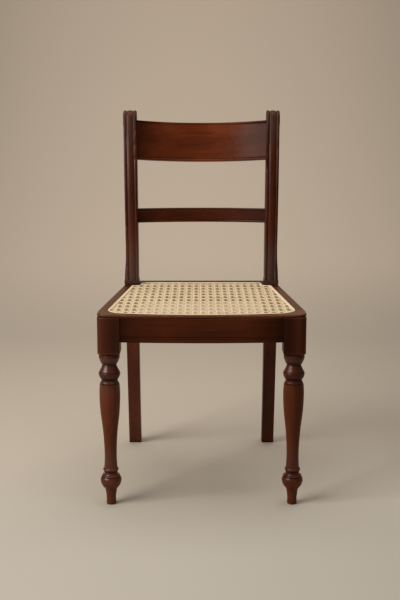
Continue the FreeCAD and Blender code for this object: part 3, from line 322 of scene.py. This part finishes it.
def dress(node, material):
    # gives a carried-over node its material
    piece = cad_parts[node]
    for slot in piece.material_slots:
        slot.material = material


for node, choices in woodPieces.items():
    dress(node, makeWood("polished_" + node, *choices))
print("wood dressed")


# Glue blocks and screws, which only show from below

blockLook = {
    "tone": (0.34, 0.20, 0.105),
    "deep": (0.20, 0.105, 0.05),
    "grainStretch": (0.15, 0.15, 1.0),
    "grainScale": 160.0,
    "roughness": 0.62,
    "grainRoughness": 0.2,
    "bumpStrength": 0.3,
    "bumpDepth": 0.0004,
}
steelLook = {
    "tone": (0.42, 0.41, 0.40),
    "worn": (0.22, 0.18, 0.15),
    "stainScale": 260.0,
    "roughness": 0.38,
    "stainRoughness": 0.2,
}


def makePlainWood(name):
    look = blockLook
    finish = Finish(name)
    along = finish.objectPlace(stretch=look["grainStretch"])
    grain = finish.noise(along, look["grainScale"], 5.0)
    finish.put("Base Color", finish.mixColours(grain, colour(look["deep"]), colour(look["tone"])))
    finish.put("Roughness", look["roughness"] + grain * look["grainRoughness"])
    finish.put("Normal", finish.node("ShaderNodeBump", {}, {
        "Strength": look["bumpStrength"], "Distance": look["bumpDepth"], "Height": grain}))
    return finish.material


def makeSteel(name):
    look = steelLook
    finish = Finish(name)
    stain = finish.noise(finish.objectPlace(), look["stainScale"], 3.0)
    finish.put("Base Color", finish.mixColours(stain, colour(look["tone"]), colour(look["worn"])))
    finish.put("Metallic", 1.0)
    finish.put("Roughness", look["roughness"] + stain * look["stainRoughness"])
    return finish.material


plainWood = makePlainWood("plain_wood")
screwSteel = makeSteel("screw_steel")
for end in ("front", "rear"):
    for hand in ("left", "right"):
        dress("corner_block_" + end + "_" + hand, plainWood)
dress("corner_block_screws", screwSteel)
dress("seat_frame_screws", screwSteel)
print("blocks and screws dressed")


# Cane seat: woven strands and the crowned strip that covers their ends

caneSeat = {
    "seed": 31,
    "columnPitch": 0.01757,
    "columnStart": -0.00445,
    "columnReach": 13,
    "strandWidth": 0.0037,
    "pairSpacing": 0.0044,
    "rowPitch": 0.0385,
    "rowStart": 0.0690,
    "rowReach": 9,
    "rowWidth": 0.0056,
    "rowSpacing": 0.0064,
    "slantWidth": 0.0028,
    "slantReach": 24,
    "bridgeWidth": 0.0032,
    "edgeInset": 0.0064,
    "edgeRun": 0.1,
    "edgeLift": 1.8,
    "strandThickness": 0.0005,
    "layerHeight": 0.00065,
    "crown": 0.00016,
    "stepLength": 0.0045,
    "endInset": 0.0022,
    "frontX": 0.21215,
    "frontBow": 0.016,
    "cornerWidth": 0.035,
    "cornerLength": 0.047,
    "cornerBulge": 0.196,
    "cornerRadius": 0.0431,
    "rearX": 0.17740,
    "sideSlope": 0.111,
    "notchX": 0.1546,
    "notchDepth": 0.044,
    "notchRadius": 0.0125,
    "arcSteps": 12,
    "weldReach": 0.00001,
}
bindingSection = [
    # inset from the cane's edge, height over the strip's foot
    (0.0002, 0.0), (0.0006, 0.0008), (0.0015, 0.00125), (0.0026, 0.0014),
    (0.0037, 0.00125), (0.0046, 0.0008), (0.0050, 0.0),
]
caneLook = {
    "paleTone": (0.87, 0.70, 0.455),
    "warmTone": (0.72, 0.535, 0.310),
    "brownTone": (0.42, 0.26, 0.12),
    "streakStretch": (6.0, 40.0, 1.0),
    "streakScale": 1.6,
    "streakRough": 0.6,
    "patchScale": 26.0,
    "wearScale": 9.0,
    "streakWarmth": 0.5,
    "patchWarmth": 0.35,
    "strandWarmth": 0.4,
    "coolness": 0.30,
    "brownPatches": 0.6,
    "brownStreaks": 0.4,
    "brownStart": 0.56,
    "brownEnd": 0.74,
    "brownCover": 0.35,
    "edgePower": 6.0,
    "edgeCover": 0.5,
    "roughness": 0.42,
    "streakRoughness": 0.2,
    "wearRoughness": 0.1,
    "bumpStrength": 0.25,
    "bumpDepth": 0.0002,
}


def bowed(first, last, bulge):
    # places on an arc whose middle stands off its chord by a share of the chord
    if bulge == 0:
        return [first]
    steps = caneSeat["arcSteps"]
    chord = last - first
    outward = Vector((chord.y, -chord.x)).normalized()
    rise = bulge * chord.length
    radius = (chord.length ** 2 / 4 + rise ** 2) / (2 * abs(rise))
    centre = (first + last) / 2 + outward * (rise - math.copysign(radius, rise))
    reach = math.copysign(2 * math.asin(chord.length / (2 * radius)), rise)
    places = []
    for step in range(steps):
        spoke = first - centre
        spoke.rotate(Matrix.Rotation(reach * step / steps, 2))
        places.append(centre + spoke)
    return places


def caneOutline(inset):
    # the cane's edge drawn in by inset, anticlockwise from above
    values = caneSeat
    low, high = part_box("cane_panel")
    quarter = (math.sqrt(2) - 1) / 2
    shrink = 1 - inset / values["cornerRadius"]
    frontX = values["frontX"] - inset
    cornerX = frontX - values["cornerWidth"] * shrink
    cornerY = low[1] + values["frontBow"] + inset
    rearX = values["rearX"] - inset * (1 - values["sideSlope"])
    rearY = high[1] - values["notchDepth"] - inset
    notchX = values["notchX"] - inset
    radius = values["notchRadius"]
    right = [
        # corner, and the bulge of the edge that leads to it
        (cornerX, cornerY, values["frontBow"] / (2 * cornerX)),
        (frontX, cornerY + values["cornerLength"] * shrink, values["cornerBulge"]),
        (rearX, rearY, 0),
        (notchX + radius + inset, rearY, 0),
        (notchX, rearY + radius + inset, -quarter),
        (notchX, high[1] - radius, 0),
        (notchX - radius + inset, high[1] - inset, quarter),
    ]
    bulges = [corner[2] for corner in right[1:]] + [0]
    left = [(-corner[0], corner[1], bulge) for corner, bulge in zip(right, bulges)]
    corners = right + left[::-1]
    places = []
    for index, (x, y, bulge) in enumerate(corners):
        before = corners[index - 1]
        places += bowed(Vector(before[:2]), Vector((x, y)), bulge)
    return places


def insideRuns(place, way, outline):
    # the stretches of a straight line that lie inside the outline
    meets = []
    for index, corner in enumerate(outline):
        before = outline[index - 1]
        first = way.cross(before - place)
        second = way.cross(corner - place)
        if (first > 0) != (second > 0):
            meets.append(way.dot(before.lerp(corner, first / (first - second)) - place))
    meets.sort()
    return list(zip(meets[::2], meets[1::2]))


def layStrand(shape, place, way, run, width, height):
    # one crowned strip on the stretch run of a line, waving as height says
    steps = max(2, round((run[1] - run[0]) / caneSeat["stepLength"]))
    across = Vector((way.y, -way.x))
    tone = random.random()
    uvLayer = shape.loops.layers.uv.verify()
    toneLayer = shape.faces.layers.float.get("tone") or shape.faces.layers.float.new("tone")
    made = bmesh.ops.create_grid(shape, x_segments=2, y_segments=steps, size=1.0)
    grid = {vert: vert.co.copy() for vert in made["verts"]}
    start = random.uniform(0, 5)
    for face in {face for vert in grid for face in vert.link_faces}:
        face[toneLayer] = tone
        for loop in face.loops:
            spot = grid[loop.vert]
            loop[uvLayer].uv = (spot.x / 2 + 0.5, start + spot.y * (run[1] - run[0]) / 2)
    for vert, spot in grid.items():
        centre = place + way * (run[0] + (run[1] - run[0]) * (spot.y + 1) / 2)
        edge = centre + across * spot.x * width / 2
        vert.co = (edge.x, edge.y, height(centre) + caneSeat["crown"] * (1 - spot.x ** 2))


def newPiece(name, shape, material):
    bmesh.ops.recalc_face_normals(shape, faces=shape.faces[:])
    for face in shape.faces:
        face.smooth = True
    mesh = bpy.data.meshes.new(name)
    shape.to_mesh(mesh)
    shape.free()
    mesh.materials.append(material)
    piece = bpy.data.objects.new(name, mesh)
    bpy.context.collection.objects.link(piece)
    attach(piece, "root")
    return piece


def makeWeave(material):
    # pairs both ways, a strand across the middle of each row of gaps, slanting strands both
    # ways, and a strand beside each straight edge
    values = caneSeat
    low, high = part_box("cane_panel")
    level = (low[2] + high[2]) / 2
    step = values["layerHeight"]
    outline = caneOutline(values["endInset"])
    columnTurn = 2 * math.pi / values["columnPitch"]
    rowTurn = 2 * math.pi / values["rowPitch"]

    def beside(spot):
        # 1 on a column, -1 midway between two
        return math.cos(columnTurn * (spot.x - values["columnStart"]))

    def behind(spot):
        # 1 on a row, -1 midway between two
        return math.cos(rowTurn * (spot.y - values["rowStart"]))

    def between(spot):
        return level + step / 3 - step * 2 / 3 * beside(spot)

    def layLine(place, way, width, height):
        for run in insideRuns(place, way, outline):
            layStrand(shape, place, way, run, width, height)

    random.seed(values["seed"])
    shape = bmesh.new()
    half = values["pairSpacing"] / 2
    for column in range(-values["columnReach"], values["columnReach"] + 1):
        x = values["columnStart"] + column * values["columnPitch"]
        for side, height in (
            (-half, lambda spot: level - step),
            (half, lambda spot: level - step / 3 + step * 2 / 3 * behind(spot)),
        ):
            layLine(Vector((x + side, 0)), Vector((0, 1)), values["strandWidth"], height)
    half = values["rowSpacing"] / 2
    for row in range(-values["rowReach"], values["rowReach"]):
        y = values["rowStart"] + row * values["rowPitch"]
        for side, width, height in (
            (-half, values["rowWidth"], between),
            (half, values["rowWidth"], lambda spot: level + step),
            (values["rowPitch"] / 2, values["bridgeWidth"], between),
        ):
            layLine(Vector((0, y + side)), Vector((1, 0)), width, height)
    for hand, height in (
        (1, lambda spot: level + step * (beside(spot) - 1) / 2),
        (-1, lambda spot: level + step * (beside(spot) + 1) / 2),
    ):
        way = Vector((hand * values["columnPitch"], values["rowPitch"])).normalized()
        for slant in range(-values["slantReach"], values["slantReach"]):
            x = values["columnStart"] + (slant + 0.5) * values["columnPitch"]
            layLine(Vector((x, values["rowStart"])), way, values["slantWidth"], height)
    edge = caneOutline(values["edgeInset"])
    edgeLevel = level + step * values["edgeLift"]
    for index, corner in enumerate(edge):
        before = edge[index - 1]
        length = (corner - before).length
        if length > values["edgeRun"]:
            way = (corner - before) / length
            layStrand(shape, before, way, (0, length), values["bridgeWidth"], lambda spot: edgeLevel)
    weave = newPiece("caneWeave", shape, material)
    depth = weave.modifiers.new("depth", "SOLIDIFY")
    depth.thickness = values["strandThickness"]
    depth.offset = 0.0
    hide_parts("cane_panel")


def makeBinding(material):
    # a crowned strip swept round the cane's edge
    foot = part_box("cane_binding")[0][2]
    loops = [(caneOutline(inset), foot + height) for inset, height in bindingSection]
    count = len(loops[0][0])
    shape = bmesh.new()
    uvLayer = shape.loops.layers.uv.verify()
    made = bmesh.ops.create_grid(shape, x_segments=len(loops), y_segments=count, size=1.0)
    grid = {}
    for vert in made["verts"]:
        column = round((vert.co.x + 1) / 2 * len(loops))
        row = round((vert.co.y + 1) / 2 * count)
        grid[vert] = (column, row)
        places, height = loops[column % len(loops)]
        vert.co = (*places[row % count], height)
    lengths = [0.0]
    for index in range(count):
        lengths.append(lengths[-1] + (loops[0][0][(index + 1) % count] - loops[0][0][index]).length)
    for face in shape.faces:
        for loop in face.loops:
            column, row = grid[loop.vert]
            loop[uvLayer].uv = (column / len(loops), lengths[row])
    bmesh.ops.remove_doubles(shape, verts=shape.verts[:], dist=caneSeat["weldReach"])
    binding = newPiece("caneBinding", shape, material)
    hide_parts("cane_binding")


def makeCaneFinish(name, lift):
    # split cane: streaks along each strand, and a browner skin at its edges
    look = caneLook
    finish = Finish(name)
    uv = finish.node("ShaderNodeTexCoord", {}, {}, "UV")
    streaked = finish.node("ShaderNodeMapping", {}, {"Vector": uv, "Scale": look["streakStretch"]})
    streaks = finish.noise(streaked, look["streakScale"], 4.0, look["streakRough"])
    place = finish.objectPlace()
    patches = finish.noise(place, look["patchScale"], 3.0)
    wear = finish.noise(place, look["wearScale"], 2.0)
    across = finish.axisOf(uv, "X")
    edge = finish.maths("ABSOLUTE", across * 2.0 - 1.0) ** look["edgePower"]
    own = finish.node("ShaderNodeAttribute", {"attribute_name": "tone"}, {}, "Fac")
    warmth = streaks * look["streakWarmth"] + patches * look["patchWarmth"]
    warmth = warmth + own * look["strandWarmth"] - look["coolness"] - lift
    shade = finish.mixColours(warmth, colour(look["paleTone"]), colour(look["warmTone"]))
    brown = patches * look["brownPatches"] + streaks * look["brownStreaks"]
    brown = finish.remap(brown, look["brownStart"], look["brownEnd"], 0.0, look["brownCover"])
    shade = finish.mixColours(brown + edge * look["edgeCover"], shade, colour(look["brownTone"]))
    rough = look["roughness"] + streaks * look["streakRoughness"] + wear * look["wearRoughness"]
    finish.put("Base Color", shade)
    finish.put("Roughness", rough)
    finish.put("Normal", finish.node("ShaderNodeBump", {}, {
        "Strength": look["bumpStrength"], "Distance": look["bumpDepth"], "Height": streaks}))
    return finish.material


makeWeave(makeCaneFinish("split_cane", 0.0))
makeBinding(makeCaneFinish("cane_edge_strip", 0.1))
print("cane woven and bound")


# Stage, camera and lamps

stageValues = {
    "nearTone": (0.460, 0.432, 0.365),
    "floorTone": (0.525, 0.455, 0.368),
    "wallTone": (0.695, 0.580, 0.460),
    "backStart": -0.55,
    "backEnd": 0.45,
    "riseStart": -0.1,
    "riseEnd": 0.22,
    "glow": 1.0,
    # painted light on the sweep: how much darker to the sides and higher up, and how the wall
    # brightens and the floor darkens to the right
    "sideShade": 0.17,
    "sideLimit": 1.2,
    "wallLightTilt": 0.04,
    "floorShadowTilt": -0.045,
    "riseShade": 0.06,
    "leastGlow": 0.5,
    "grainScale": 900.0,
    "grainDepth": 0.04,
    "roughness": 0.85,
    "nearY": -7.0,
    "bendY": 1.5,
    "bendRadius": 1.6,
    "bendSteps": 24,
    "wallTop": 5.0,
    "halfWidth": 7.0,
}
cameraValues = {
    "place": (-0.0038, -2.6823, 0.9411),
    "pitch": 10.703,
    "lens": 67.30,
    "sensorHeight": 36.0,
}
lampValues = {
    # name: (place, aim, width, height, watts, tone)
    "key": ((-2.7, -1.8, 2.3), (0.0, 0.1, 0.4), 2.2, 2.0, 114.0, (1.0, 0.97, 0.93)),
    "top": ((0.1, 0.1, 3.3), (0.0, 0.1, 0.2), 2.8, 2.8, 57.0, (1.0, 0.98, 0.95)),
}
worldValues = {"tone": (1.0, 0.96, 0.91), "strength": 0.13}


def makePaper(name):
    # warm wall and cooler floor, with painted light: darker to the sides and higher up, the wall
    # lighter to the right and the floor darker to the right as a painted shadow
    values = stageValues
    finish = Finish(name)
    place = finish.objectPlace()
    grain = finish.noise(place, values["grainScale"], 2.0)
    x = finish.axisOf(place, "X")
    y = finish.axisOf(place, "Y")
    z = finish.axisOf(place, "Z")
    rise = finish.remap(z, values["riseStart"], values["riseEnd"], 0.0, 1.0, "SMOOTHSTEP")
    back = finish.remap(y, values["backStart"], values["backEnd"], 0.0, 1.0, "SMOOTHSTEP")
    tone = finish.mixColours(back, colour(values["nearTone"]), colour(values["floorTone"]))
    tone = finish.mixColours(rise, tone, colour(values["wallTone"]))
    # painted light: falloff to the sides and upwards, a painted shadow on the floor to the right, and
    # the paper's grain
    side = finish.maths("MINIMUM", x * x, values["sideLimit"])
    lightTilt = finish.maths("MAXIMUM", finish.maths("MINIMUM", x, 1.0), -1.0)
    lightTilt = lightTilt * (rise * (values["wallLightTilt"] - values["floorShadowTilt"]) + values["floorShadowTilt"])
    paintedLightAndGrain = values["glow"] - side * values["sideShade"] + lightTilt - z * values["riseShade"]
    paintedLightAndGrain = finish.maths("MAXIMUM", paintedLightAndGrain - grain * values["grainDepth"], values["leastGlow"])
    level = finish.node("ShaderNodeCombineColor", {}, {"Red": paintedLightAndGrain, "Green": paintedLightAndGrain, "Blue": paintedLightAndGrain})
    finish.put("Base Color", finish.mixColours(1.0, tone, level, "MULTIPLY"))
    finish.put("Roughness", values["roughness"])
    return finish.material


def makeStage():
    # floor and wall in one sweep
    values = stageValues
    shape = bmesh.new()
    corner = shape.verts.new((-values["halfWidth"], values["nearY"], 0.0))
    bend = shape.verts.new((-values["halfWidth"], values["bendY"], 0.0))
    shape.edges.new((corner, bend))
    centre = Vector((0.0, values["bendY"], values["bendRadius"]))
    spun = bmesh.ops.spin(
        shape, geom=[bend], cent=centre, axis=(1, 0, 0), angle=math.pi / 2, steps=values["bendSteps"])
    last = [part for part in spun["geom_last"] if isinstance(part, bmesh.types.BMVert)][0]
    top = bmesh.ops.extrude_vert_indiv(shape, verts=[last])["verts"][0]
    top.co.z = values["wallTop"]
    across = bmesh.ops.extrude_edge_only(shape, edges=shape.edges[:])["geom"]
    moved = [part for part in across if isinstance(part, bmesh.types.BMVert)]
    bmesh.ops.translate(shape, verts=moved, vec=(2 * values["halfWidth"], 0, 0))
    bmesh.ops.recalc_face_normals(shape, faces=shape.faces[:])
    for face in shape.faces:
        face.smooth = True
    mesh = bpy.data.meshes.new("sweep")
    shape.to_mesh(mesh)
    shape.free()
    mesh.materials.append(makePaper("sweep_paper"))
    sweep = bpy.data.objects.new("sweep", mesh)
    bpy.context.collection.objects.link(sweep)


def makeCamera():
    values = cameraValues
    camera = bpy.data.objects.new("camera", bpy.data.cameras.new("camera"))
    bpy.context.collection.objects.link(camera)
    camera.location = values["place"]
    camera.rotation_euler = (math.radians(90 - values["pitch"]), 0.0, 0.0)
    camera.data.lens = values["lens"]
    camera.data.sensor_fit = "VERTICAL"
    camera.data.sensor_height = values["sensorHeight"]
    bpy.context.scene.camera = camera


def makeLamps():
    for name, (place, aim, width, height, watts, tone) in lampValues.items():
        lamp = bpy.data.objects.new(name, bpy.data.lights.new(name, "AREA"))
        bpy.context.collection.objects.link(lamp)
        lamp.data.shape = "RECTANGLE"
        lamp.data.size = width
        lamp.data.size_y = height
        lamp.data.energy = watts
        lamp.data.color = tone
        lamp.location = place
        way = Vector(aim) - Vector(place)
        lamp.rotation_euler = way.to_track_quat("-Z", "Y").to_euler()
    world = bpy.data.worlds.new("studio")
    world.use_nodes = True
    background = world.node_tree.nodes["Background"]
    background.inputs["Color"].default_value = colour(worldValues["tone"])
    background.inputs["Strength"].default_value = worldValues["strength"]
    bpy.context.scene.world = world


makeStage()
makeCamera()
makeLamps()
bpy.context.scene.view_settings.view_transform = "Standard"
print("stage, camera and lamps ready")
